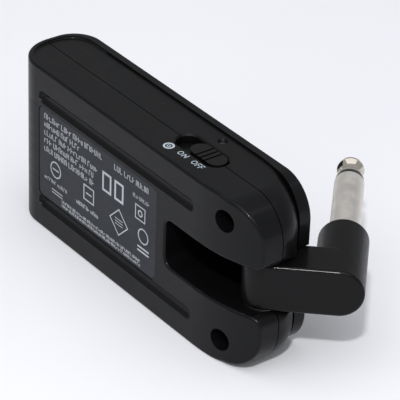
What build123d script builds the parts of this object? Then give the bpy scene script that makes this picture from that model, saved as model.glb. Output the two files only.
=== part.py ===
"""Rechargeable plug-in guitar unit with a swivelling 6.35 mm plug, standing on its lower narrow side.

Units are millimetres.  +X runs from the rounded socket end to the forked plug end, +Y from the
label side to the button side, +Z up.  The origin is on the flat of the front rim that the unit
rests on, midway along the body.
"""

import os
from math import cos, radians, sin, sqrt

from build123d import *

# ---------------------------------------------------------------- body and shells

body_length = 82.0  # socket end to the furthest point of the fork
body_width = 38.3  # across the two narrow sides, the standing height
body_thick = 17.8  # label face to front rim
x_far = -body_length / 2
x_fork = body_length / 2
x_over = x_fork + 10  # clear of the fork, for cutters
x_front_end = x_fork - 3.3  # the front rim ends short of the fork's furthest point
z_mid = body_width / 2
y_front = 1.4
y_back = y_front - body_thick
y_mid = y_front - body_thick / 2
y_part = y_back + 8.2  # joint between the two shells
part_gap = 0.2

side_step = 0.45  # the narrow sides lie this far inside the rims
rim_height = 1.9  # front rim, along Y
fork_rim_drop = 1.05  # the rim is this much taller at the fork
rim_drop_start, rim_drop_end = 24.0, 36.5
y_rim = y_front - rim_height
back_rim_height = 1.1  # rim beside the label face
ring_width = 1.2  # rim round the socket end
edge_round = 0.55
wall_round = 0.7
panel_round = 0.3
far_back_radius = 8.4  # socket end, rounded in plan
far_front_radius = 6.6
fork_corner_radius = 8.5
front_corner_radius = 8.3
fade_radius = 12.0  # a larger corner, so that the back rim fades out before the fork
slope_start = 24.0  # the label face curves away from here to the fork
slope_radius = 42.0
nose_radius = 7.9

wall = 1.6
cavity_end = 11.9
side_cavity_end = 26.5
side_cavity_offset = 7.1  # inner edge of the cavities beside the fork slot, from mid width
cavity_front = y_front - 2.6
cavity_top = body_width - side_step - wall
lip_thick = 0.65
lip_gap = 0.1
lip_depth = 1.0

slot_end = 13.9
slot_width = 10.8
slot_floor = y_mid + 5.1
slot_corner_radius = 2.0
slot_mouth_radius = 2.4
rim_mouth_radius = 0.5
notch_corner_radius = 1.0
notch_start = 30.0  # from here to the fork's end the slot is open to the front too

# ---------------------------------------------------------------- swivel plug

pivot_x = 35.1
arm_angle = 47.5  # rest angle of the swivel arm, from +X towards +Y
arm_length = 14.6  # pivot axis to plug axis
arm_thick = 9.2
arm_height = 10.4
arm_round = 0.7
barrel_end = 15.4  # from the arm's centre plane
barrel_round = 0.4
plug_radius = 6.35 / 2
sleeve_length = 22.1  # clear of the barrel
sleeve_seat = 10.0  # inside the barrel
spigot_radius = 2.8  # of the seated part
core_radius = 0.9
liner_radius = 1.7
ring_radius = 3.0
ring_length = 1.3
tip_radius = 2.9
waist_radius = 2.05
tip_length = 8.9
apex_half_width, apex_height = 1.3, 0.35
apex_radius = (apex_half_width**2 + apex_height**2) / (2 * apex_height)
seat_gap = 0.03
trunnion_radius = 2.5
trunnion_length = 4.0
bush_radius = 3.5
running_gap = 0.05
washer_radius = 4.2
washer_thick = 0.12

# ---------------------------------------------------------------- label side and narrow side

screw_x = 31.9
screw_offset = 13.75  # from mid width
well_radius = 2.4
well_depth = 6.2
shank_radius = 0.9
head_radius = 1.9
head_height = 1.4
shank_length = 6.0
screw_cross = (2.2, 0.45, 0.5)

label_start, label_end = -31.05, 10.8
label_low, label_high = 8.1, 29.45
label_corner_radius = 1.4
label_thick = 0.15
label_recess_depth = 0.25
label_gap = 0.12
groove_start, groove_end = -31.1, 23.1
groove_offset = 12.6
groove_half_width = 1.4
groove_depth = 0.9

switch_x = 14.55
switch_opening = (14.2, 5.2)
switch_bevel = 0.35
knob_size = (9.4, 4.3)
knob_top = body_width - side_step + 0.15
knob_depth = 2.0
knob_base = (18.8, 6.2, 0.7)
knob_base_top = 36.0
knob_stem = 1.6
knob_stem_low = 33.5
ridge_pitch = 1.35
ridge_groove = 0.45
switch_step = 2.2  # between neighbouring positions, of three
knob_rest_x = switch_x + switch_step
lamp_x, lamp_y = 13.9, y_back + 13.8
lamp_radius = 0.7
lamp_cone_radius = 1.1
lamp_cone_depth = 0.55
lamp_low, lamp_top = 34.0, body_width - side_step - lamp_cone_depth

# ---------------------------------------------------------------- electronics

board_thick = 1.0
board_back = y_back + 9.9
board_front = board_back + board_thick
board_low, board_high = 3.2, 34.9
board_start = -37.0
board_end = 10.6
board_arm_end = 25.0
board_arm_low = 27.4
boss_places = [(-34.6, 5.6), (-34.6, 32.7), (22.6, 30.0)]
boss_radius = 1.7
boss_pilot_depth = 3.9
board_screw_radius = 0.75
board_screw_head = (1.3, 1.0)
board_screw_length = 3.6
screw_hole_gap = 0.15

battery_size = (34.0, 4.0, 26.0)
battery_place = (-6.5, y_back + wall + 2.4, z_mid + 2.25)
battery_round = 1.2
pad_size = (30.0, 0.4, 22.0)
slide_switch_size = (9.0, 3.6, 4.0)
slide_switch_z = 31.2
status_led_size = (2.4, 3.6, 1.6)
status_led_z = 33.0
radio_size = (12.0, 2.0, 10.0)
radio_place = (0.0, 27.0)
chip_size = (7.0, 0.9, 7.0)
chip_place = (-14.5, 23.5)
antenna_size = (8.0, 0.4, 2.0)
antenna_place = (16.0, 29.5)

wheel_x = -12.0
wheel_radius = 6.0
wheel_thick = 2.4
wheel_low = 0.25
wheel_z = wheel_low + wheel_radius
wheel_y = board_back - 2.0
wheel_teeth = 30
wheel_tooth_radius = 0.35
wheel_shaft_radius = 1.0
wheel_slot = (13.2, 3.2)
pot_size = (8.0, 0.5, 8.0)
scoop_radius = 14.0
scoop_top = 1.3
scoop_length = 11.0

socket_mouth = x_far + 0.9
usb_z = z_mid + 7.0
usb_y = board_back - 1.65
usb_size = (3.26, 8.94)  # Y by Z
usb_depth = 7.3
usb_wall = 0.3
usb_tongue = (5.2, 0.7, 6.7)
usb_hole = 0.3  # clearance round the shell
jack_z = z_mid - 8.0
jack_y = board_back - 2.6
jack_bore_radius = 1.8
jack_bore_length = 14.0
jack_collar_radius = 2.8
jack_collar_length = 2.8
jack_body = (12.6, 5.2, 6.4)

plate_start, plate_end = -34.0, 27.4
plate_low = 2.3
plate_corner_radius = 4.5
plate_thick = 1.2
plate_face = y_front - 0.2
plate_gap = 0.12
plate_edge_round = 0.3
button_columns = {"gain": -27.0, "tone": -15.8, "effect": -4.6, "reverb": 6.6}
button_sides = {"minus": -8.6, "plus": 8.6}  # from mid width
button_size = (7.0, 4.4)
button_corner_radius = 1.9
button_face = y_front + 0.35
button_gap = 0.3
button_edge_round = 0.4
button_flange = (8.2, 5.8, 0.7)
button_flange_gap = 0.1
button_stem_radius = 1.0
button_stem_gap = 0.45
tact_size = (3.4, 1.3, 3.4)
plunger_radius = 0.8
plunger_height = 0.8
window_radius = 0.9
window_gap = 0.1

os.makedirs("parts", exist_ok=True)


def across(y):
    """Plane at y facing the label side: local x is X, local y is Z, extrusions run towards -Y."""
    return Plane.XZ.offset(-y)


def save(name, part):
    """Label one finished piece and write it under its own name."""
    part.label = name
    export_step(part, f"parts/{name}.step")


def nose_x(y):
    """How far the fork reaches at y, in front of the joint between the shells."""
    return x_fork - nose_radius + sqrt(nose_radius**2 - (y - y_part) ** 2)


def slope_y(x):
    """Height of the label face at x."""
    run = max(0.0, x - slope_start)
    return y_back + slope_radius - sqrt(slope_radius**2 - run**2)


def on_label_face_rim(edge):
    """True for an edge that runs along the label face, other than at its flat end."""
    points = [edge @ t for t in (0, 0.3, 0.6, 1)]
    on_face = all(abs(p.Y - slope_y(min(p.X, x_fork))) < 0.01 for p in points)
    upright = all(abs(p.X - points[0].X) < 0.001 for p in points)
    return on_face and not (upright and points[0].X < slope_start + 0.1)


def body_outline(x_end, inset, radius):
    """Outline of the body in the label view, rounded at the fork end only."""
    with BuildSketch(mode=Mode.PRIVATE) as shape:
        with Locations(((x_far + x_end) / 2, z_mid)):
            Rectangle(x_end - x_far, body_width - 2 * inset)
        fillet(shape.vertices().group_by(Axis.X)[-1], radius)
    return shape.sketch


def end_profile(shrink, y_low, y_high, x_limit):
    """Plan profile with the socket end rounded, moved in by shrink at that end."""
    back_radius = far_back_radius - shrink
    front_radius = far_front_radius - shrink
    with BuildSketch(mode=Mode.PRIVATE) as shape:
        with BuildLine():
            back = JernArc((x_far + shrink + back_radius, y_low), (-1, 0), back_radius, -90)
            end = Line(back @ 1, (x_far + shrink, y_high - front_radius))
            front = JernArc(end @ 1, (0, 1), front_radius, -90)
            top = Line(front @ 1, (x_limit, y_high))
            tail = Line(top @ 1, (x_limit, y_low))
            Line(tail @ 1, back @ 0)
        make_face()
    return shape.sketch


def both_sides(offset):
    """The two heights at the same distance from mid width."""
    return (z_mid - offset, z_mid + offset)


def mouth_sketch(start, mouth, radius, flare):
    """Fork slot in the label view, with rounded inner corners and a flared mouth."""
    half = slot_width / 2
    with BuildSketch(mode=Mode.PRIVATE) as shape:
        with Locations(((start + x_over) / 2, z_mid)):
            Rectangle(x_over - start, slot_width)
        if radius:
            fillet(shape.vertices().group_by(Axis.X)[0], radius)
        for side in (-1, 1):
            with BuildLine():
                lip = (mouth - flare, z_mid + side * half)
                arc = JernArc(lip, (1, 0), flare, side * 90)
                out = Line(arc @ 1, (x_over, (arc @ 1).Y))
                down = Line(out @ 1, (x_over, z_mid + side * half))
                Line(down @ 1, lip)
            make_face()
    return shape.sketch


# ---------------------------------------------------------------- outer form of the closed body

with BuildPart() as slope_cutter:
    with BuildSketch():
        with BuildLine():
            curve = JernArc((slope_start, y_back), (1, 0), slope_radius, 30)
            beyond = Line(curve @ 1, (x_over, (curve @ 1).Y))
            outside = Line(beyond @ 1, (x_over, y_back - wall))
            below = Line(outside @ 1, (slope_start, y_back - wall))
            Line(below @ 1, curve @ 0)
        make_face()
    extrude(amount=body_width)


def label_side_layer(inset, corner, edge_radius):
    """Back half of the body in one outline, with its label-face edges rounded."""
    with BuildPart(mode=Mode.PRIVATE) as layer:
        with BuildSketch(across(y_part)):
            add(body_outline(x_fork, inset, corner))
        extrude(amount=y_part - y_back)
        add(slope_cutter.part, mode=Mode.SUBTRACT)
        with BuildSketch(across(y_part)):
            add(mouth_sketch(slot_end, x_fork, slot_corner_radius, slot_mouth_radius))
        extrude(amount=y_part - y_back, mode=Mode.SUBTRACT)
        fillet(layer.edges().filter_by(on_label_face_rim), edge_radius)
    return layer.part


with BuildPart() as back_rim:
    add(label_side_layer(0, fade_radius, edge_round))
    with BuildSketch(across(x_over)):
        with Locations((0, z_mid)):
            Rectangle(2 * x_over, 2 * body_width)
    extrude(amount=x_over - y_back - back_rim_height, mode=Mode.SUBTRACT)

with BuildPart() as front_rim:
    with BuildSketch(across(y_front)):
        add(body_outline(x_front_end, 0, front_corner_radius))
    extrude(amount=rim_height + fork_rim_drop)
    with BuildSketch():
        with BuildLine():
            level = Line((x_far - wall, y_rim), (rim_drop_start, y_rim))
            ramp = Line(level @ 1, (rim_drop_end, y_rim - fork_rim_drop))
            past = Line(ramp @ 1, (x_over, y_rim - fork_rim_drop))
            under = Line(past @ 1, (x_over, y_mid))
            back = Line(under @ 1, (x_far - wall, y_mid))
            Line(back @ 1, level @ 0)
        make_face()
    extrude(amount=body_width, mode=Mode.SUBTRACT)
    face_edges = front_rim.faces().sort_by(Axis.Y)[-1].edges()
    fillet(face_edges.filter_by(lambda edge: (edge @ 0.5).X > x_far + 0.1), edge_round)

with BuildPart() as nose:
    for section_y in (y_part, (y_part + y_rim) / 2, y_rim):
        with BuildSketch(across(section_y)):
            add(body_outline(nose_x(section_y), side_step, fork_corner_radius))
    loft()

with BuildPart() as plan_prism:
    with BuildSketch():
        add(end_profile(0, y_back, y_front, x_over))
    extrude(amount=body_width)
    flat_edges = plan_prism.edges().filter_by(Plane.XY)
    fillet(flat_edges.filter_by(lambda edge: (edge @ 0.5).X < x_over - 0.1), edge_round)

with BuildPart() as side_pocket:
    with BuildSketch(Plane.XY.offset(body_width - side_step)):
        add(end_profile(ring_width, y_back + back_rim_height, y_rim, x_over))
        with BuildLine():
            ramp = Line((rim_drop_start, y_rim), (rim_drop_end, y_rim - fork_rim_drop))
            past = Line(ramp @ 1, (x_over, y_rim - fork_rim_drop))
            edge = Line(past @ 1, (x_over, y_rim))
            Line(edge @ 1, ramp @ 0)
        make_face(mode=Mode.SUBTRACT)
    extrude(amount=2 * side_step)
    fillet(side_pocket.faces().sort_by(Axis.Z)[0].edges(), panel_round)

with BuildPart() as body_form:
    add(label_side_layer(side_step, fork_corner_radius, wall_round))
    add(nose.part)
    add(front_rim.part)
    add(back_rim.part)
    with Locations((x_far + 6, y_mid, z_mid)):
        Box(12, body_thick, body_width)
    add(side_pocket.part, mode=Mode.SUBTRACT)
    add(side_pocket.part.mirror(Plane.XY.offset(z_mid)), mode=Mode.SUBTRACT)
    add(plan_prism.part, mode=Mode.INTERSECT)

# ---------------------------------------------------------------- cutters shared by the two shells

with BuildPart() as slot_cutter:
    with BuildSketch(across(slot_floor)):
        add(mouth_sketch(slot_end, x_fork, slot_corner_radius, slot_mouth_radius))
    extrude(amount=slot_floor - y_back + wall)
    with BuildSketch(across(y_front + wall)):
        add(mouth_sketch(notch_start, x_fork, notch_corner_radius, slot_mouth_radius))
    extrude(amount=y_front + wall - y_part)
    with BuildSketch(across(y_front + wall)):
        add(mouth_sketch(notch_start, x_front_end, 0, rim_mouth_radius))
    extrude(amount=wall + rim_height + fork_rim_drop)


def hole(radius, start, end, x, z):
    """A round cutter along Y between two depths."""
    with BuildPart(mode=Mode.PRIVATE) as cutter:
        with BuildSketch(across(end)):
            with Locations((x, z)):
                Circle(radius)
        extrude(amount=end - start)
    return cutter.part


def block(size, place):
    """A plain box centred at a place, for an electronic component."""
    with BuildPart(mode=Mode.PRIVATE) as body:
        with Locations(place):
            Box(*size)
    return body.part


with BuildPart() as cavity:
    with BuildSketch(Plane.XY.offset(side_step + wall)):
        add(end_profile(wall, y_back + wall, cavity_front, cavity_end))
    extrude(amount=body_width - 2 * (side_step + wall))
    pocket_height = z_mid - side_step - wall - side_cavity_offset
    for side in (-1, 1):
        centre_z = z_mid + side * (side_cavity_offset + pocket_height / 2)
        centre_x = (cavity_end + side_cavity_end) / 2 - 1
        with Locations((centre_x, (y_back + wall + cavity_front) / 2, centre_z)):
            Box(side_cavity_end - cavity_end + 2, cavity_front - y_back - wall, pocket_height)

with BuildPart() as screw_wells:
    for z in both_sides(screw_offset):
        add(hole(well_radius, y_back - wall, y_back + well_depth, screw_x, z))
        add(hole(shank_radius + screw_hole_gap, y_back + well_depth, y_part, screw_x, z))
        add(hole(shank_radius + seat_gap, y_part, y_back + well_depth + shank_length + 0.3, screw_x, z))

with BuildPart() as bush_pockets:
    for z in both_sides(slot_width / 2 + trunnion_length / 2 + 0.1):
        with Locations((pivot_x, y_mid, z)):
            Cylinder(bush_radius + seat_gap, trunnion_length + 0.2)

with BuildPart() as switch_cutter:
    with BuildSketch(Plane.XY.offset(cavity_top)) as switch_outline:
        with Locations((switch_x, y_part)):
            SlotOverall(*switch_opening)
    extrude(amount=body_width - cavity_top)
    with BuildSketch(Plane.XY.offset(body_width - side_step - switch_bevel)):
        with Locations((switch_x, y_part)):
            SlotOverall(*switch_opening)
    extrude(amount=2 * switch_bevel, taper=-45)

with BuildPart() as lamp_cutter:
    with Locations((lamp_x, lamp_y, body_width - 2)):
        Cylinder(lamp_radius + seat_gap, 5)
    with Locations((lamp_x, lamp_y, body_width - side_step - lamp_cone_depth / 2)):
        Cone(lamp_radius + seat_gap, lamp_cone_radius, lamp_cone_depth)

with BuildPart() as wheel_cutter:
    with Locations((wheel_x, wheel_y, side_step + wall / 2)):
        Box(wheel_slot[0], wheel_slot[1], 2 * wall)
    with Locations((wheel_x, wheel_y, scoop_top - scoop_radius)):
        Cylinder(scoop_radius, scoop_length, rotation=(90, 0, 0))

with BuildPart() as socket_cutters:
    with Locations((x_far, jack_y, jack_z)):
        reach = socket_mouth + jack_collar_length - x_far
        Cylinder(jack_collar_radius + seat_gap, 2 * reach, rotation=(0, 90, 0))
    with BuildSketch(Plane.YZ.offset(x_far - wall)):
        with Locations((usb_y, usb_z)):
            SlotOverall(usb_size[1] + 2 * usb_hole, usb_size[0] + 2 * usb_hole, rotation=90)
    extrude(amount=3 * wall)

with BuildPart() as label_recess:
    with BuildSketch(across(y_back + label_recess_depth)):
        with Locations(((label_start + label_end) / 2, (label_low + label_high) / 2)):
            width = label_end - label_start + 2 * label_gap
            RectangleRounded(width, label_high - label_low + 2 * label_gap, label_corner_radius)
    extrude(amount=wall)

with BuildPart() as finger_grooves:
    groove_radius = (groove_half_width**2 + groove_depth**2) / (2 * groove_depth)
    groove_y = y_back + groove_depth - groove_radius
    groove_length = groove_end - groove_start - 2 * groove_half_width
    groove_x = (groove_start + groove_end) / 2
    for z in both_sides(groove_offset):
        with Locations((groove_x, groove_y, z)):
            Cylinder(groove_radius, groove_length, rotation=(0, 90, 0))
            with GridLocations(groove_length, 1, 2, 1):
                Sphere(groove_radius)

# ---------------------------------------------------------------- shells

with BuildPart() as closed_case:
    add(body_form.part)
    add(cavity.part, mode=Mode.SUBTRACT)


def lip(outset, depth):
    """Tongue round the cavity's three closed sides, standing back from the joint."""
    with BuildPart(mode=Mode.PRIVATE) as band:
        with BuildSketch(across(y_part + part_gap / 2)):
            with Locations(((x_far + wall - outset + cavity_end) / 2, z_mid)):
                low_x = x_far + wall - outset
                Rectangle(cavity_end - low_x, body_width - 2 * (side_step + wall - outset))
            with Locations(((x_far + wall + cavity_end) / 2, z_mid)):
                inner_width = body_width - 2 * (side_step + wall)
                Rectangle(cavity_end - x_far - wall, inner_width, mode=Mode.SUBTRACT)
        extrude(amount=depth + part_gap)
    return band.part


with BuildPart() as openings:
    add(slot_cutter.part)
    add(screw_wells.part)
    add(bush_pockets.part)
    add(switch_cutter.part)
    add(lamp_cutter.part)
    add(wheel_cutter.part)
    add(socket_cutters.part)

with BuildPart() as back_shell:
    add(closed_case.part)
    with Locations((0, y_part - part_gap / 2 + body_thick, z_mid)):
        Box(2 * body_length, 2 * body_thick, 2 * body_width, mode=Mode.SUBTRACT)
    add(lip(lip_thick + lip_gap, lip_depth + lip_gap), mode=Mode.SUBTRACT)
    add(openings.part, mode=Mode.SUBTRACT)
    add(label_recess.part, mode=Mode.SUBTRACT)
    add(finger_grooves.part, mode=Mode.SUBTRACT)

with BuildPart() as front_bosses:
    for x, z in boss_places:
        add(hole(boss_radius, board_front, cavity_front + 0.2, x, z))

with BuildPart() as boss_pilots:
    for x, z in boss_places:
        add(hole(board_screw_radius + seat_gap, board_front, board_front + boss_pilot_depth, x, z))


def plate_outline(outset):
    """Front plate in the label view, without its holes."""
    with BuildSketch(mode=Mode.PRIVATE) as shape:
        with Locations(((plate_start + plate_end) / 2, z_mid)):
            length = plate_end - plate_start + 2 * outset
            RectangleRounded(length, body_width - 2 * plate_low + 2 * outset, plate_corner_radius)
    return shape.sketch


def control_holes(gap):
    """Outlines of the button and window holes, wider than what they hold by gap."""
    with BuildSketch(mode=Mode.PRIVATE) as shape:
        for x in button_columns.values():
            with Locations(*[(x, z_mid + z) for z in button_sides.values()]):
                sizes = [size + 2 * gap for size in button_size]
                RectangleRounded(*sizes, button_corner_radius + gap)
            with Locations((x, z_mid)):
                Circle(window_radius + window_gap)
    return shape.sketch


with BuildPart() as front_shell:
    add(closed_case.part)
    with Locations((0, y_part + part_gap / 2 - body_thick, z_mid)):
        Box(2 * body_length, 2 * body_thick, 2 * body_width, mode=Mode.SUBTRACT)
    add(lip(lip_thick, lip_depth))
    add(openings.part, mode=Mode.SUBTRACT)
    add(front_bosses.part)
    add(boss_pilots.part, mode=Mode.SUBTRACT)
    with BuildSketch(across(y_front + wall)):
        add(plate_outline(plate_gap))
    extrude(amount=y_front + wall - plate_face + plate_thick, mode=Mode.SUBTRACT)
    with BuildSketch(across(y_front)):
        add(control_holes(button_gap))
    extrude(amount=y_front - cavity_front, mode=Mode.SUBTRACT)

with BuildPart() as front_plate:
    with BuildSketch(across(plate_face)):
        add(plate_outline(0))
        add(control_holes(button_gap), mode=Mode.SUBTRACT)
    extrude(amount=plate_thick)
    fillet(front_plate.faces().sort_by(Axis.Y)[-1].outer_wire().edges(), plate_edge_round)

with BuildPart() as rating_label:
    with BuildSketch(across(y_back + label_recess_depth)):
        with Locations(((label_start + label_end) / 2, (label_low + label_high) / 2)):
            RectangleRounded(label_end - label_start, label_high - label_low, label_corner_radius)
    extrude(amount=label_thick)

with BuildPart() as case_screws:
    for z in both_sides(screw_offset):
        head_y = y_back + well_depth
        add(hole(head_radius, head_y - head_height, head_y, screw_x, z))
        add(hole(shank_radius, head_y, head_y + shank_length, screw_x, z))
        with Locations((screw_x, head_y - head_height + screw_cross[2] / 2, z)):
            Box(screw_cross[0], screw_cross[2], screw_cross[1], mode=Mode.SUBTRACT)
            Box(screw_cross[1], screw_cross[2], screw_cross[0], mode=Mode.SUBTRACT)

# ---------------------------------------------------------------- swivel plug

arm_plane = Plane(
    origin=(pivot_x, y_mid, z_mid),
    x_dir=(cos(radians(arm_angle)), sin(radians(arm_angle)), 0),
    z_dir=(0, 0, 1),
)
plug_direction = arm_plane.y_dir
plug_plane = Plane(arm_plane.from_local_coords((arm_length, 0, 0)), x_dir=(0, 0, 1), z_dir=plug_direction)



def along_plug(radius, start, end, bore=0.0):
    """Round piece on the plug axis between two distances from the arm's centre plane."""
    with BuildPart(mode=Mode.PRIVATE) as piece:
        with BuildSketch(plug_plane.offset(start)):
            Circle(radius)
            if bore:
                Circle(bore, mode=Mode.SUBTRACT)
        extrude(amount=end - start)
    return piece.part


def short_of_plug_axis(edge):
    """True for an edge of the arm's block other than at its plug end."""
    return arm_plane.to_local_coords(edge @ 0.5).X < arm_length - 0.1


with BuildPart() as barrel:
    add(along_plug(arm_height / 2, -arm_thick / 2, barrel_end))
    ends = barrel.faces().sort_by(Axis(plug_plane.origin, plug_direction))
    fillet(ends[0].edges(), arm_round)
    fillet(ends[-1].edges(), barrel_round)

sleeve_start = barrel_end - sleeve_seat
sleeve_end = barrel_end + sleeve_length

with BuildPart() as swivel_arm:
    with BuildSketch(arm_plane.offset(-arm_height / 2)):
        with Locations((arm_length / 2, 0)):
            Rectangle(arm_length, arm_thick)
        Circle(arm_thick / 2)
    extrude(amount=arm_height)
    for face in swivel_arm.faces().filter_by(Axis.Z):
        fillet(face.edges().filter_by(short_of_plug_axis), arm_round)
    add(barrel.part)
    with BuildSketch(arm_plane.offset(-arm_height / 2 - trunnion_length)):
        Circle(trunnion_radius)
    extrude(amount=arm_height + 2 * trunnion_length)
    add(along_plug(spigot_radius + seat_gap, sleeve_start, barrel_end + wall), mode=Mode.SUBTRACT)

with BuildPart() as plug_sleeve:
    add(along_plug(plug_radius, barrel_end, sleeve_end, liner_radius + seat_gap))
    add(along_plug(spigot_radius, sleeve_start, barrel_end, liner_radius + seat_gap))

with BuildPart() as plug_insulator:
    add(along_plug(liner_radius, sleeve_start, sleeve_end, core_radius + seat_gap))
    add(along_plug(ring_radius, sleeve_end, sleeve_end + ring_length, core_radius + seat_gap))

tip_foot = plug_plane.from_local_coords((0, 0, sleeve_end))
tip_plane = Plane(tip_foot, x_dir=(0, 0, 1), z_dir=-arm_plane.x_dir)
with BuildPart() as plug_tip:
    with BuildSketch(tip_plane):
        with BuildLine():
            rod_foot = Line((0, sleeve_start - sleeve_end), (core_radius, sleeve_start - sleeve_end))
            rod = Line(rod_foot @ 1, (core_radius, ring_length))
            foot = Line(rod @ 1, (tip_radius, ring_length))
            collar = Line(foot @ 1, (tip_radius, 2.2))
            hollow = ThreePointArc(collar @ 1, (waist_radius, 4.0), (tip_radius, 5.8))
            bulge = Line(hollow @ 1, (2.75, 6.6))
            shoulder = Line(bulge @ 1, (apex_half_width, tip_length - apex_height))
            apex = RadiusArc(shoulder @ 1, (0, tip_length), -apex_radius)
            Line(apex @ 1, rod_foot @ 0)
        make_face()
    revolve(axis=Axis(plug_plane.origin, plug_direction))

with BuildPart() as pivot_bushes:
    for z in both_sides((slot_width + trunnion_length) / 2 + 0.05):
        with Locations((pivot_x, y_mid, z)):
            Cylinder(bush_radius, trunnion_length - 0.1)
            Cylinder(trunnion_radius + running_gap, trunnion_length, mode=Mode.SUBTRACT)

with BuildPart() as friction_washers:
    for z in both_sides((arm_height + slot_width) / 4):
        with Locations((pivot_x, y_mid, z)):
            Cylinder(washer_radius, washer_thick)
            Cylinder(trunnion_radius + 2 * running_gap, washer_thick, mode=Mode.SUBTRACT)

# ---------------------------------------------------------------- controls and indicators


def button(x, z):
    """Push button: rounded cap, flange behind the wall and a stem over its switch."""
    with BuildPart(mode=Mode.PRIVATE) as key:
        with BuildSketch(across(button_face)):
            with Locations((x, z)):
                RectangleRounded(*button_size, button_corner_radius)
        flange_top = cavity_front - button_flange_gap
        extrude(amount=button_face - flange_top)
        fillet(key.faces().sort_by(Axis.Y)[-1].edges(), button_edge_round)
        with BuildSketch(across(flange_top)):
            with Locations((x, z)):
                RectangleRounded(button_flange[0], button_flange[1], button_corner_radius)
        extrude(amount=button_flange[2])
        stem_low = board_front + tact_size[1] + plunger_height + button_stem_gap
        add(hole(button_stem_radius, stem_low, flange_top, x, z))
    return key.part


with BuildPart() as tact_switches:
    for x in button_columns.values():
        for z in button_sides.values():
            with Locations((x, board_front + tact_size[1] / 2, z_mid + z)):
                Box(*tact_size)
            tact_top = board_front + tact_size[1]
            add(hole(plunger_radius, tact_top, tact_top + plunger_height, x, z_mid + z))

with BuildPart() as indicator_windows:
    for x in button_columns.values():
        add(hole(window_radius, cavity_front, plate_face - 0.1, x, z_mid))

with BuildPart() as indicator_leds:
    for x in button_columns.values():
        with Locations((x, board_front + 0.4, z_mid)):
            Box(1.6, 0.8, 0.8)

with BuildPart() as power_slider:
    with Locations((knob_rest_x, y_part, knob_base_top - knob_base[2] / 2)):
        Box(*knob_base)
    with BuildSketch(Plane.XY.offset(knob_base_top)):
        with Locations((knob_rest_x, y_part)):
            SlotOverall(*knob_size)
    extrude(amount=knob_top - knob_base_top)
    with Locations((knob_rest_x, y_part, (knob_base_top + knob_stem_low) / 2)):
        Box(knob_stem, knob_stem, knob_base_top - knob_stem_low)
    with Locations((knob_rest_x, y_part, knob_top)):
        with GridLocations(ridge_pitch, 1, 3, 1):
            Box(ridge_groove, knob_size[1] + 1, 2 * ridge_groove, mode=Mode.SUBTRACT)

with BuildPart() as volume_wheel:
    with BuildSketch(across(wheel_y + wheel_thick / 2)):
        with Locations((wheel_x, wheel_z)):
            Circle(wheel_radius)
            with PolarLocations(wheel_radius, wheel_teeth):
                Circle(wheel_tooth_radius, mode=Mode.SUBTRACT)
            Circle(wheel_shaft_radius + running_gap, mode=Mode.SUBTRACT)
    extrude(amount=wheel_thick)

with BuildPart() as light_pipe:
    with Locations((lamp_x, lamp_y, (lamp_top + lamp_low) / 2)):
        Cylinder(lamp_radius, lamp_top - lamp_low)
    with Locations((lamp_x, lamp_y, cavity_top - 0.5)):
        Cylinder(lamp_cone_radius, 0.8)

# ---------------------------------------------------------------- electronics


def on_board_back(size, place):
    """A box-shaped component on the label side of the main board, placed by X and Z."""
    return block(size, (place[0], board_back - size[1] / 2, place[1]))


def on_board_front(size, place):
    """A box-shaped component on the button side of the main board, placed by X and Z."""
    return block(size, (place[0], board_front + size[1] / 2, place[1]))


with BuildPart() as main_board:
    with BuildSketch(across(board_front)):
        with Locations(((board_start + board_end) / 2, (board_low + board_high) / 2)):
            Rectangle(board_end - board_start, board_high - board_low)
        with Locations(((board_start + board_arm_end) / 2, (board_arm_low + board_high) / 2)):
            Rectangle(board_arm_end - board_start, board_high - board_arm_low)
        with Locations(*boss_places):
            Circle(board_screw_radius + screw_hole_gap, mode=Mode.SUBTRACT)
    extrude(amount=board_thick)

with BuildPart() as board_screws:
    for x, z in boss_places:
        add(hole(board_screw_head[0], board_back - board_screw_head[1], board_back, x, z))
        add(hole(board_screw_radius, board_back, board_back + board_screw_length, x, z))

with BuildPart() as battery:
    with Locations(battery_place):
        Box(*battery_size)
    fillet(battery.edges().filter_by(Axis.X), battery_round)

with BuildPart() as usb_c_socket:
    with BuildSketch(Plane.YZ.offset(socket_mouth)):
        with Locations((usb_y, usb_z)):
            SlotOverall(usb_size[1], usb_size[0], rotation=90)
            inner_size = [size - 2 * usb_wall for size in (usb_size[1], usb_size[0])]
            SlotOverall(*inner_size, rotation=90, mode=Mode.SUBTRACT)
    extrude(amount=usb_depth)
    with Locations((socket_mouth + usb_depth, usb_y, usb_z)):
        Box(2 * usb_wall, usb_size[0] - usb_wall, usb_size[1] - usb_size[0])
    with Locations((socket_mouth + usb_depth - usb_tongue[0] / 2, usb_y, usb_z)):
        Box(*usb_tongue)

with BuildPart() as headphone_jack:
    with Locations((socket_mouth + jack_collar_length + jack_body[0] / 2, jack_y, jack_z)):
        Box(*jack_body)
    with Locations((socket_mouth + jack_collar_length / 2, jack_y, jack_z)):
        Cylinder(jack_collar_radius, jack_collar_length, rotation=(0, 90, 0))
    with Locations((socket_mouth + jack_bore_length / 2, jack_y, jack_z)):
        Cylinder(jack_bore_radius, jack_bore_length, rotation=(0, 90, 0), mode=Mode.SUBTRACT)

with BuildPart() as volume_pot:
    with Locations((wheel_x, board_back - pot_size[1] / 2, wheel_z)):
        Box(*pot_size)
    add(hole(wheel_shaft_radius, wheel_y - wheel_thick / 2 - 0.2, board_back, wheel_x, wheel_z))

pad_place = (battery_place[0], y_back + wall + pad_size[1] / 2, battery_place[2])
battery_pad = block(pad_size, pad_place)
slide_switch = on_board_back(slide_switch_size, (switch_x, slide_switch_z))
radio_module = on_board_back(radio_size, radio_place)
processor_chip = on_board_back(chip_size, chip_place)
status_led = on_board_front(status_led_size, (lamp_x, status_led_z))
antenna = on_board_front(antenna_size, antenna_place)

# ---------------------------------------------------------------- every piece under its own name

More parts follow.
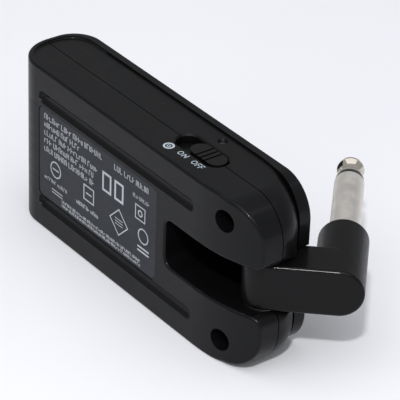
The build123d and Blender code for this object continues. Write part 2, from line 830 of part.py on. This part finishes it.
pieces = {
    "back_shell": back_shell.part,
    "front_shell": front_shell.part,
    "front_plate": front_plate.part,
    "rating_label": rating_label.part,
    "case_screws": case_screws.part,
    "swivel_arm": swivel_arm.part,
    "plug_sleeve": plug_sleeve.part,
    "plug_insulator": plug_insulator.part,
    "plug_tip": plug_tip.part,
    "pivot_bushes": pivot_bushes.part,
    "friction_washers": friction_washers.part,
    "tact_switches": tact_switches.part,
    "indicator_windows": indicator_windows.part,
    "indicator_leds": indicator_leds.part,
    "power_slider": power_slider.part,
    "slide_switch": slide_switch,
    "light_pipe": light_pipe.part,
    "status_led": status_led,
    "volume_wheel": volume_wheel.part,
    "volume_pot": volume_pot.part,
    "main_board": main_board.part,
    "board_screws": board_screws.part,
    "battery": battery.part,
    "battery_pad": battery_pad,
    "usb_c_socket": usb_c_socket.part,
    "headphone_jack": headphone_jack.part,
    "radio_module": radio_module,
    "processor_chip": processor_chip,
    "antenna": antenna,
}
for column, column_x in button_columns.items():
    for sign, sign_z in button_sides.items():
        pieces[f"button_{column}_{sign}"] = button(column_x, z_mid + sign_z)
for name, piece in pieces.items():
    save(name, piece)
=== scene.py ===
"""Looks of the plug-in guitar unit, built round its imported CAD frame.

Everything is in metres in the CAD's frame: +X to the forked plug end, +Y to the button side, +Z up.
Printed marks are laid out in millimetres on their face.
"""

import math
import random

import bmesh
import bpy
from mathutils import Matrix, Vector


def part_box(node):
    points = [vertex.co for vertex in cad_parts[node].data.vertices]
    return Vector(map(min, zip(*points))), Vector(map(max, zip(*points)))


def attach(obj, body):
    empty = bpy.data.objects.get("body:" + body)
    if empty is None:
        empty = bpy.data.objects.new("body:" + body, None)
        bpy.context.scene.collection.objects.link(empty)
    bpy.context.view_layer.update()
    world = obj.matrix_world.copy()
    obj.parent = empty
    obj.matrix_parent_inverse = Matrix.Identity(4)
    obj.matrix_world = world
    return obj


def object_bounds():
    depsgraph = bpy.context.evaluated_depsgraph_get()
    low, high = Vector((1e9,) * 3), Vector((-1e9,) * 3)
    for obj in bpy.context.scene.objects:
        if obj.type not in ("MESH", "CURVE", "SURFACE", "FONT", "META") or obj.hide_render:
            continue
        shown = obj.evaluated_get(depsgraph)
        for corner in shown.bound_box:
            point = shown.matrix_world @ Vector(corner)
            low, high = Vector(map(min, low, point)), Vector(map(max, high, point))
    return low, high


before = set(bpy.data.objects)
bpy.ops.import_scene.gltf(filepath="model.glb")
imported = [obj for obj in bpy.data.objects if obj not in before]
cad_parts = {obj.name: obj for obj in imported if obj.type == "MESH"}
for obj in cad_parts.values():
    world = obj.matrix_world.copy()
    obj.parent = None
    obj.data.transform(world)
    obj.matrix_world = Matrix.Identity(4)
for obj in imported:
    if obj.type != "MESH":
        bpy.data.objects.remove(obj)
cad_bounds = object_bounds()
MM = 0.001

# ---------------------------------------------------------------- camera, floor and light

CAMERA_PLACE = Vector((0.35819, -0.27492, 0.29048))
CAMERA_FORWARD = Vector((-0.67537, 0.52401, -0.51894))
CAMERA_UP = Vector((-0.43220, 0.28893, 0.85424))
CAMERA_LENS_MM = 229.8
CAMERA_SENSOR_MM = 36.0
CAMERA_REACH = 10.0

LIGHT_AIM = Vector((0.042, 0.0, 0.02))
KEY_DIRECTION = Vector((0.475, -0.453, 0.754)).normalized()
KEY_DISTANCE = 1.0
KEY_SIZE = (0.058, 0.042)
KEY_WATTS = 5.1
OVERHEAD_PLACE = Vector((0.24, -0.20, 0.9))
OVERHEAD_SIZE = (1.4, 1.4)
OVERHEAD_WATTS = 5.5
OVERHEAD_TINT = (0.98, 0.985, 1.0)
WORLD_TINT = (0.96, 0.97, 1.0, 1.0)
WORLD_STRENGTH = 0.48

FLOOR_REACH = 3.0
FLOOR_DARK = (0.81, 0.815, 0.845)
FLOOR_LIGHT = (0.84, 0.845, 0.875)


def turned_towards(place, forward, up):
    """World matrix of a camera or light at place that looks along forward."""
    back = -forward.normalized()
    right = up.cross(back).normalized()
    true_up = back.cross(right)
    turn = Matrix((right, true_up, back)).transposed().to_4x4()
    return Matrix.Translation(place) @ turn


def make_camera():
    camera = bpy.data.cameras.new("camera")
    camera.lens = CAMERA_LENS_MM
    camera.sensor_width = CAMERA_SENSOR_MM
    camera.clip_end = CAMERA_REACH
    obj = bpy.data.objects.new("camera", camera)
    obj.matrix_world = turned_towards(CAMERA_PLACE, CAMERA_FORWARD, CAMERA_UP)
    bpy.context.scene.collection.objects.link(obj)
    bpy.context.scene.camera = obj


def area_light(name, place, size, watts, tint=(1.0, 1.0, 1.0)):
    """A rectangular light at place, turned to the fork end of the unit."""
    light = bpy.data.lights.new(name, "AREA")
    light.shape = "RECTANGLE"
    light.size, light.size_y = size
    light.energy = watts
    light.color = tint
    obj = bpy.data.objects.new(name, light)
    obj.matrix_world = turned_towards(place, LIGHT_AIM - place, Vector((0, 0, 1)))
    bpy.context.scene.collection.objects.link(obj)


def make_lights():
    """A small key light a little above the camera, a large soft box overhead, and a pale world."""
    area_light("key", LIGHT_AIM + KEY_DIRECTION * KEY_DISTANCE, KEY_SIZE, KEY_WATTS)
    area_light("overhead", OVERHEAD_PLACE, OVERHEAD_SIZE, OVERHEAD_WATTS, OVERHEAD_TINT)
    world = bpy.data.worlds.new("studio")
    world.use_nodes = True
    background = world.node_tree.nodes["Background"]
    background.inputs["Color"].default_value = WORLD_TINT
    background.inputs["Strength"].default_value = WORLD_STRENGTH
    bpy.context.scene.world = world


# ---------------------------------------------------------------- procedural materials


class Recipe:
    """Small helper that builds one node material."""

    def __init__(self, name):
        self.material = bpy.data.materials.new(name)
        self.material.use_nodes = True
        self.tree = self.material.node_tree
        self.shader = self.tree.nodes["Principled BSDF"]
        self.coordinates = self.tree.nodes.new("ShaderNodeTexCoord")

    def set(self, **values):
        """Sets shader sockets by name, with underscores for spaces."""
        for key, value in values.items():
            self.shader.inputs[key.replace("_", " ")].default_value = value

    def link(self, source, socket):
        self.tree.links.new(source, self.shader.inputs[socket])

    def noise(self, scale, detail, stretch=None):
        """Noise in object space, at scale features per metre, stretched along the axes if asked."""
        node = self.tree.nodes.new("ShaderNodeTexNoise")
        node.inputs["Scale"].default_value = scale
        node.inputs["Detail"].default_value = detail
        source = self.coordinates.outputs["Object"]
        if stretch:
            mapping = self.tree.nodes.new("ShaderNodeMapping")
            mapping.inputs["Scale"].default_value = stretch
            self.tree.links.new(source, mapping.inputs["Vector"])
            source = mapping.outputs["Vector"]
        self.tree.links.new(source, node.inputs["Vector"])
        return node.outputs["Fac"]

    def spread(self, source, low, high):
        """Maps the middle of a noise's range to low..high."""
        node = self.tree.nodes.new("ShaderNodeMapRange")
        node.inputs["From Min"].default_value = 0.3
        node.inputs["From Max"].default_value = 0.7
        node.inputs["To Min"].default_value = low
        node.inputs["To Max"].default_value = high
        self.tree.links.new(source, node.inputs["Value"])
        return node.outputs["Result"]

    def ramp(self, source, dark, light, start=0.35, end=0.65):
        """Runs from the dark to the light colour while source goes from start to end."""
        node = self.tree.nodes.new("ShaderNodeValToRGB")
        node.color_ramp.elements[0].position = start
        node.color_ramp.elements[0].color = (*dark, 1.0)
        node.color_ramp.elements[1].position = end
        node.color_ramp.elements[1].color = (*light, 1.0)
        self.tree.links.new(source, node.inputs["Fac"])
        return node.outputs["Color"]

    def bump(self, source, distance):
        """Raises the surface by up to distance metres where source is high."""
        node = self.tree.nodes.new("ShaderNodeBump")
        node.inputs["Distance"].default_value = distance
        node.inputs["Strength"].default_value = 1.0
        self.tree.links.new(source, node.inputs["Height"])
        self.tree.links.new(node.outputs["Normal"], self.shader.inputs["Normal"])


def scaled(colour, factor):
    return tuple(c * factor for c in colour)


def moulded(name, colour, roughness, spark=0.00001, spark_scale=9000.0, specular=0.5, coat=0.0):
    """Satin moulded plastic: spark-eroded texture, slight tone and gloss variation, faint handling marks.

    The coat is the thin polish on the high spots, which gives the edges their glint.
    """
    recipe = Recipe(name)
    recipe.set(Specular_IOR_Level=specular, Coat_Weight=coat, Coat_Roughness=0.14)
    patches = recipe.noise(scale=90.0, detail=5.0)
    recipe.link(recipe.ramp(patches, scaled(colour, 0.88), scaled(colour, 1.1)), "Base Color")
    scuffs = recipe.noise(scale=700.0, detail=6.0, stretch=(0.4, 1.0, 1.6))
    recipe.link(recipe.spread(scuffs, low=roughness - 0.05, high=roughness + 0.06), "Roughness")
    recipe.bump(recipe.noise(scale=spark_scale, detail=2.0), spark)
    return recipe.material


def metal(name, colour, roughness, stretch, tarnish, lines=0.000004):
    """Plated or bare metal: cloudy tarnish, and tool lines drawn out along the axes by stretch."""
    recipe = Recipe(name)
    recipe.set(Metallic=1.0)
    clouds = recipe.noise(scale=260.0, detail=6.0)
    recipe.link(recipe.ramp(clouds, tarnish, colour, start=0.3, end=0.6), "Base Color")
    streaks = recipe.noise(scale=1500.0, detail=3.0, stretch=stretch)
    recipe.link(recipe.spread(streaks, low=roughness * 0.8, high=roughness * 1.3), "Roughness")
    recipe.bump(streaks, lines)
    return recipe.material


def lamp_resin(name, colour, coat):
    """Clear or diffusing resin of lamps and light pipes."""
    recipe = Recipe(name)
    recipe.set(Coat_Weight=coat, Subsurface_Weight=0.3, Subsurface_Radius=(0.0005, 0.0005, 0.0005))
    bubbles = recipe.noise(scale=2600.0, detail=2.0)
    recipe.link(recipe.ramp(bubbles, scaled(colour, 0.85), colour), "Base Color")
    recipe.link(recipe.spread(bubbles, low=0.15, high=0.3), "Roughness")
    return recipe.material


def laminate(name):
    """Circuit board: woven glass under green solder mask."""
    recipe = Recipe(name)
    recipe.set(Coat_Weight=0.4)
    weave = recipe.noise(scale=1800.0, detail=2.0, stretch=(1.0, 1.0, 3.0))
    recipe.link(recipe.ramp(weave, (0.008, 0.06, 0.025), (0.016, 0.12, 0.045)), "Base Color")
    recipe.link(recipe.spread(weave, low=0.3, high=0.42), "Roughness")
    recipe.bump(weave, 0.00002)
    return recipe.material


def floor_paper():
    """Plain pale paper."""
    recipe = Recipe("floor_paper")
    recipe.link(recipe.ramp(recipe.noise(scale=6.0, detail=3.0), FLOOR_DARK, FLOOR_LIGHT), "Base Color")
    recipe.set(Roughness=0.85, Specular_IOR_Level=0.1)
    recipe.bump(recipe.noise(scale=900.0, detail=5.0), 0.00002)
    return recipe.material


ALIKE = (1.0, 1.0, 1.0)
ALONG_X = (3.0, 1.0, 1.0)
ALONG_Z = (1.0, 1.0, 3.0)
TURNED = (0.2, 0.2, 1.0)

MATERIALS = {
    "case": moulded("case_black", (0.0030, 0.0031, 0.0035), 0.4, specular=0.08, coat=0.18),
    "arm": moulded(
        "arm_black", (0.0030, 0.0030, 0.0031), 0.4, spark=0.00004, spark_scale=4500.0, specular=0.07, coat=0.2
    ),
    "plate": moulded("plate_black", (0.004, 0.004, 0.0045), 0.14, spark=0.000002),
    "label": moulded("label_film", (0.030, 0.033, 0.039), 0.45, spark=0.000004, specular=0.10),
    "knob": moulded("knob_black", (0.003, 0.003, 0.0031), 0.4, specular=0.1, coat=0.15),
    "key": moulded("key_rubber", (0.020, 0.020, 0.021), 0.55, spark=0.000012, specular=0.3),
    "wheel": moulded("wheel_rubber", (0.010, 0.010, 0.0105), 0.5, spark=0.00002, specular=0.3),
    "component": moulded("component_black", (0.012, 0.012, 0.013), 0.4),
    "bush": moulded("bush_acetal", (0.50, 0.49, 0.45), 0.35, spark=0.000004),
    "foam": moulded("pad_foam", (0.02, 0.02, 0.02), 0.9, spark=0.00006, spark_scale=2500.0),
    "pouch": moulded("battery_pouch", (0.36, 0.42, 0.52), 0.28, spark=0.00002, spark_scale=900.0),
    "ring": moulded("plug_ring", (0.005, 0.005, 0.005), 0.3, spark=0.000003),
    "jack": moulded("jack_black", (0.008, 0.008, 0.0085), 0.3),
    "print": moulded("label_print", (0.42, 0.44, 0.46), 0.6, spark=0.000001),
    "panel_print": moulded("panel_print", (0.40, 0.465, 0.51), 0.55, spark=0.000001),
    "sleeve": metal("sleeve_nickel", (0.80, 0.77, 0.72), 0.46, TURNED, (0.74, 0.705, 0.65)),
    "tip": metal("tip_nickel", (0.66, 0.62, 0.55), 0.10, ALIKE, (0.52, 0.48, 0.40), lines=0.000001),
    "screw": metal("screw_black_oxide", (0.045, 0.045, 0.047), 0.4, ALIKE, (0.02, 0.02, 0.02)),
    "steel": metal("bare_steel", (0.55, 0.55, 0.56), 0.3, ALONG_X, (0.42, 0.42, 0.43)),
    "copper": metal("antenna_copper", (0.72, 0.40, 0.22), 0.25, ALONG_Z, (0.45, 0.22, 0.12)),
    "window": lamp_resin("window_acrylic", (0.30, 0.33, 0.36), coat=0.8),
    "pipe": lamp_resin("pipe_acrylic", (0.012, 0.012, 0.013), coat=0.6),
    "lamp": lamp_resin("lamp_resin", (0.85, 0.85, 0.78), coat=0.5),
    "board": laminate("board_laminate"),
}

KEYS = [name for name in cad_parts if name.startswith("button_")]

FINISHES = {
    "case": ["back_shell", "front_shell"],
    "arm": ["swivel_arm"],
    "plate": ["front_plate"],
    "label": ["rating_label"],
    "knob": ["power_slider"],
    "key": KEYS,
    "wheel": ["volume_wheel"],
    "component": ["tact_switches", "slide_switch", "volume_pot", "processor_chip"],
    "bush": ["pivot_bushes"],
    "foam": ["battery_pad"],
    "pouch": ["battery"],
    "ring": ["plug_insulator"],
    "jack": ["headphone_jack"],
    "sleeve": ["plug_sleeve"],
    "tip": ["plug_tip"],
    "screw": ["case_screws", "board_screws"],
    "steel": ["friction_washers", "usb_c_socket", "radio_module"],
    "copper": ["antenna"],
    "window": ["indicator_windows"],
    "pipe": ["light_pipe"],
    "lamp": ["indicator_leds", "status_led"],
    "board": ["main_board"],
}


def finish_cad_nodes():
    for finish, nodes in FINISHES.items():
        for node in nodes:
            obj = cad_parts[node]
            if not obj.material_slots:
                obj.data.materials.append(None)
            for slot in obj.material_slots:
                slot.material = MATERIALS[finish]


# ---------------------------------------------------------------- printed marks

PRINT_THICK = 0.02 * MM
PRINT_LIFT = 0.004 * MM
ROUND_END_STEPS = 6

# Unreadable small print: sizes are shares of the letter height.
LETTER_WIDTHS = (0.38, 0.48, 0.56)
LETTER_HEIGHTS = (1.0, 1.0, 0.72)
CROSS_STROKE_LEVELS = (0.0, 0.5, 1.0)
SECOND_UPRIGHT_CHANCE = 0.6
LETTER_GAP = 0.34
WORD_GAP = 0.4
SHORTEST_WORD = 0.5


class Print:
    """Flat printed shapes on one face, gathered into one mesh.

    Points are (across, up) in millimetres on the face, as it is read from outside.
    """

    def __init__(self, name, origin, across, up, material, body, slot):
        self.name = name
        self.origin, self.across, self.up = Vector(origin), Vector(across), Vector(up)
        self.out = self.across.cross(self.up)
        self.material, self.body, self.slot = material, body, slot
        self.mesh = bmesh.new()

    def corners(self, outline, height):
        """New vertices at the points of an outline, at a height over the face."""
        places = [self.origin + (self.across * x + self.up * y) * MM + self.out * height for x, y in outline]
        return [self.mesh.verts.new(place) for place in places]

    def strip(self, outer, inner):
        """Thin solid between two outlines with the same number of points."""
        top = PRINT_LIFT + PRINT_THICK
        low_out, high_out = self.corners(outer, PRINT_LIFT), self.corners(outer, top)
        low_in, high_in = self.corners(inner, PRINT_LIFT), self.corners(inner, top)
        for i in range(len(outer)):
            j = (i + 1) % len(outer)
            self.mesh.faces.new((high_out[i], high_out[j], high_in[j], high_in[i]))
            self.mesh.faces.new((low_in[i], low_in[j], low_out[j], low_out[i]))
            self.mesh.faces.new((low_out[i], low_out[j], high_out[j], high_out[i]))
            self.mesh.faces.new((high_in[i], high_in[j], low_in[j], low_in[i]))

    def shape(self, outline):
        """Thin solid filling one convex outline, given anticlockwise."""
        low = self.corners(outline, PRINT_LIFT)
        high = self.corners(outline, PRINT_LIFT + PRINT_THICK)
        self.mesh.faces.new(high)
        self.mesh.faces.new(low[::-1])
        for i in range(len(outline)):
            j = (i + 1) % len(outline)
            self.mesh.faces.new((low[i], low[j], high[j], high[i]))

    def bar(self, start, end, width):
        """Straight stroke with round ends."""
        start, end = Vector(start), Vector(end)
        along = math.atan2(end.y - start.y, end.x - start.x)
        outline = []
        for centre, first_turn in ((end, -90), (start, 90)):
            for step in range(ROUND_END_STEPS + 1):
                angle = along + math.radians(first_turn + step * 180 / ROUND_END_STEPS)
                x = centre.x + math.cos(angle) * width / 2
                y = centre.y + math.sin(angle) * width / 2
                outline.append((x, y))
        self.shape(outline)

    def level_bars(self, left, right, levels, width):
        for level in levels:
            self.bar((left, level), (right, level), width)

    def path(self, points, width):
        """Straight strokes from point to point."""
        for start, end in zip(points, points[1:]):
            self.bar(start, end, width)

    def ring(self, centre, radius, width, squash=1.0, segments=40):
        """Ring drawn inwards from radius by width, squashed across if asked."""

        def circle(r):
            turns = [2 * math.pi * i / segments for i in range(segments)]
            return [(centre[0] + math.cos(a) * r * squash, centre[1] + math.sin(a) * r) for a in turns]

        self.strip(circle(radius), circle(radius - width))

    def polygon(self, points, width):
        """Outline of a polygon, given anticlockwise, drawn inwards by width."""
        inner = []
        for i, point in enumerate(points):
            here = Vector(point)
            before = (here - Vector(points[i - 1])).normalized()
            after = (Vector(points[(i + 1) % len(points)]) - here).normalized()
            inward = Vector((-before.y, before.x)) + Vector((-after.y, after.x))
            half_corner = math.sqrt((1 + before.dot(after)) / 2)
            inner.append(tuple(here + inward.normalized() * width / half_corner))
        self.strip(points, inner)

    def rectangle(self, left, base, wide, tall, width):
        right, top = left + wide, base + tall
        self.polygon([(left, base), (right, base), (right, top), (left, top)], width)

    def diamond(self, centre, half_wide, half_tall, width):
        x, y = centre
        self.polygon([(x - half_wide, y), (x, y - half_tall), (x + half_wide, y), (x, y + half_tall)], width)

    def words(self, start, end, base, height, stroke, seed):
        """A line of small print that says nothing: upright and level strokes with word gaps."""
        source = random.Random(seed)
        x = start
        while x < end - height * SHORTEST_WORD:
            for _ in range(source.randint(3, 8)):
                width = height * source.choice(LETTER_WIDTHS)
                if x + width > end:
                    break
                tall = height * source.choice(LETTER_HEIGHTS)
                self.bar((x, base), (x, base + tall), stroke)
                if source.random() < SECOND_UPRIGHT_CHANCE:
                    self.bar((x + width, base), (x + width, base + tall), stroke)
                level = base + tall * source.choice(CROSS_STROKE_LEVELS)
                self.bar((x, level), (x + width, level), stroke)
                x += width + height * LETTER_GAP
            x += height * WORD_GAP

    def build(self):
        """Makes the piece and has it ride on its body."""
        bmesh.ops.recalc_face_normals(self.mesh, faces=self.mesh.faces)
        mesh = bpy.data.meshes.new(self.name)
        self.mesh.to_mesh(mesh)
        self.mesh.free()
        mesh.materials.append(self.material)
        obj = bpy.data.objects.new(self.name, mesh)
        bpy.context.scene.collection.objects.link(obj)
        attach(obj, self.body)


def label_print_rows(marks):
    """Rows of unreadable small print: the rating block, two short captions and two lines at the foot."""
    left, top, pitch, height, stroke = -29.1, 27.2, 1.92, 1.15, 0.19
    for row, end in enumerate((-8.0, -16.2, -9.0, -10.6, -10.2)):
        marks.words(left, end, top - pitch * row, height, stroke, seed=11 + row)
    marks.words(-3.7, 9.1, top, height, stroke, seed=31)
    marks.words(2.9, 8.6, base=24.3, height=0.8, stroke=0.12, seed=32)
    marks.words(-29.0, -20.6, base=12.8, height=0.75, stroke=0.13, seed=33)
    marks.words(-17.1, -8.4, base=12.5, height=0.85, stroke=0.15, seed=34)
    for base, seed in ((9.75, 35), (8.75, 36)):
        marks.words(-22.5, 5.8, base, height=0.62, stroke=0.13, seed=seed)


def label_outline_marks(marks):
    """Plain outlines where such a label has its marks. They stand for nothing."""
    # ring with a bar across, over two bars
    marks.ring((-24.9, 16.5), radius=1.95, width=0.3)
    marks.level_bars(-25.9, -23.9, [16.5], width=0.3)
    marks.level_bars(-26.2, -22.4, [11.4, 10.7], width=0.22)
    # square with a bar across
    marks.rectangle(-14.6, 14.8, wide=3.8, tall=3.7, width=0.3)
    marks.level_bars(-13.6, -11.8, [16.65], width=0.3)
    # two upright rectangles
    for left in (-7.9, -3.6):
        marks.rectangle(left, 20.3, wide=3.2, tall=4.6, width=0.55)
    # diamond with three bars
    marks.diamond((-1.9, 15.45), half_wide=3.3, half_tall=3.25, width=0.26)
    marks.level_bars(-3.2, -0.6, [16.1, 15.45, 14.8], width=0.16)
    # small ring in a square
    marks.rectangle(3.7, 19.6, wide=3.5, tall=3.4, width=0.26)
    marks.ring((5.45, 21.3), radius=0.8, width=0.3, segments=20)
    # plain ring, over two bold bars
    marks.ring((6.6, 16.4), radius=1.8, width=0.3)
    marks.level_bars(4.9, 8.5, [13.5, 12.6], width=0.4)


def print_label():
    """Generic rating print on the label side, read from -Y: nothing on it can be read."""
    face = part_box("rating_label")[0].y
    material = MATERIALS["print"]
    marks = Print("label_marks", (0, face, 0), (1, 0, 0), (0, 0, 1), material, "housing", "label_film")
    label_print_rows(marks)
    label_outline_marks(marks)
    marks.build()


def print_switch_words():
    """ON, OFF and a plain pairing mark beside the power slider, read with their tops towards +Y."""
    lamp_recess = 0.55 * MM
    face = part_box("light_pipe")[1].z + lamp_recess
    material = MATERIALS["panel_print"]
    marks = Print("switch_marks", (0, 0, face), (1, 0, 0), (0, 1, 0), material, "housing", "label_film")
    base, tall, stroke = -12.95, 1.3, 0.21
    middle, top = base + tall / 2, base + tall
    o_half_wide, o_overshoot, o_squash = 0.56, 0.04, 0.86
    n_wide, f_wide, f_arm = 0.92, 0.66, 0.56

    def letter_o(left):
        marks.ring((left + o_half_wide, middle), tall / 2 + o_overshoot, stroke, o_squash, segments=28)

    def letter_n(left):
        right = left + n_wide
        marks.path([(left, base), (left, top), (right, base), (right, top)], stroke)

    def letter_f(left):
        marks.path([(left, base), (left, top), (left + f_wide, top)], stroke)
        marks.bar((left, middle), (left + f_arm, middle), stroke)

    on = ((letter_o, 12.45), (letter_n, 14.05))
    off = ((letter_o, 16.95), (letter_f, 18.45), (letter_f, 19.45))
    for letter, left in on + off:
        letter(left)
    pairing = (9.44, -12.6)
    marks.ring(pairing, radius=1.2, width=0.42, segments=28)
    marks.ring(pairing, radius=0.45, width=0.2, segments=20)
    marks.build()


def print_key_signs():
    """Minus and plus signs on the keys of the front."""
    reach, gap, stroke = 0.8, 0.3, 0.34
    material = MATERIALS["panel_print"]
    for key in KEYS:
        low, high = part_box(key)
        centre = (low + high) / 2
        body = key.replace("button_", "key_")
        origin = (centre.x, high.y, centre.z)
        sign = Print(key + "_sign", origin, (-1, 0, 0), (0, 0, 1), material, body, "button_rubber")
        sign.bar((-reach, 0), (reach, 0), stroke)
        if key.endswith("plus"):
            sign.bar((0, gap), (0, reach), stroke)
            sign.bar((0, -reach), (0, -gap), stroke)
        sign.build()


def make_floor():
    """A large plain sheet under the unit."""
    mesh = bpy.data.meshes.new("floor")
    level = cad_bounds[0].z
    edge = ((-1, -1), (1, -1), (1, 1), (-1, 1))
    mesh.from_pydata([(x * FLOOR_REACH, y * FLOOR_REACH, level) for x, y in edge], [], [(0, 1, 2, 3)])
    mesh.materials.append(floor_paper())
    floor = bpy.data.objects.new("floor", mesh)
    bpy.context.scene.collection.objects.link(floor)


make_camera()
make_lights()
make_floor()
finish_cad_nodes()
print_label()
print_switch_words()
print_key_signs()

view_settings = bpy.context.scene.view_settings
view_settings.view_transform = "Standard"
view_settings.look = "None"
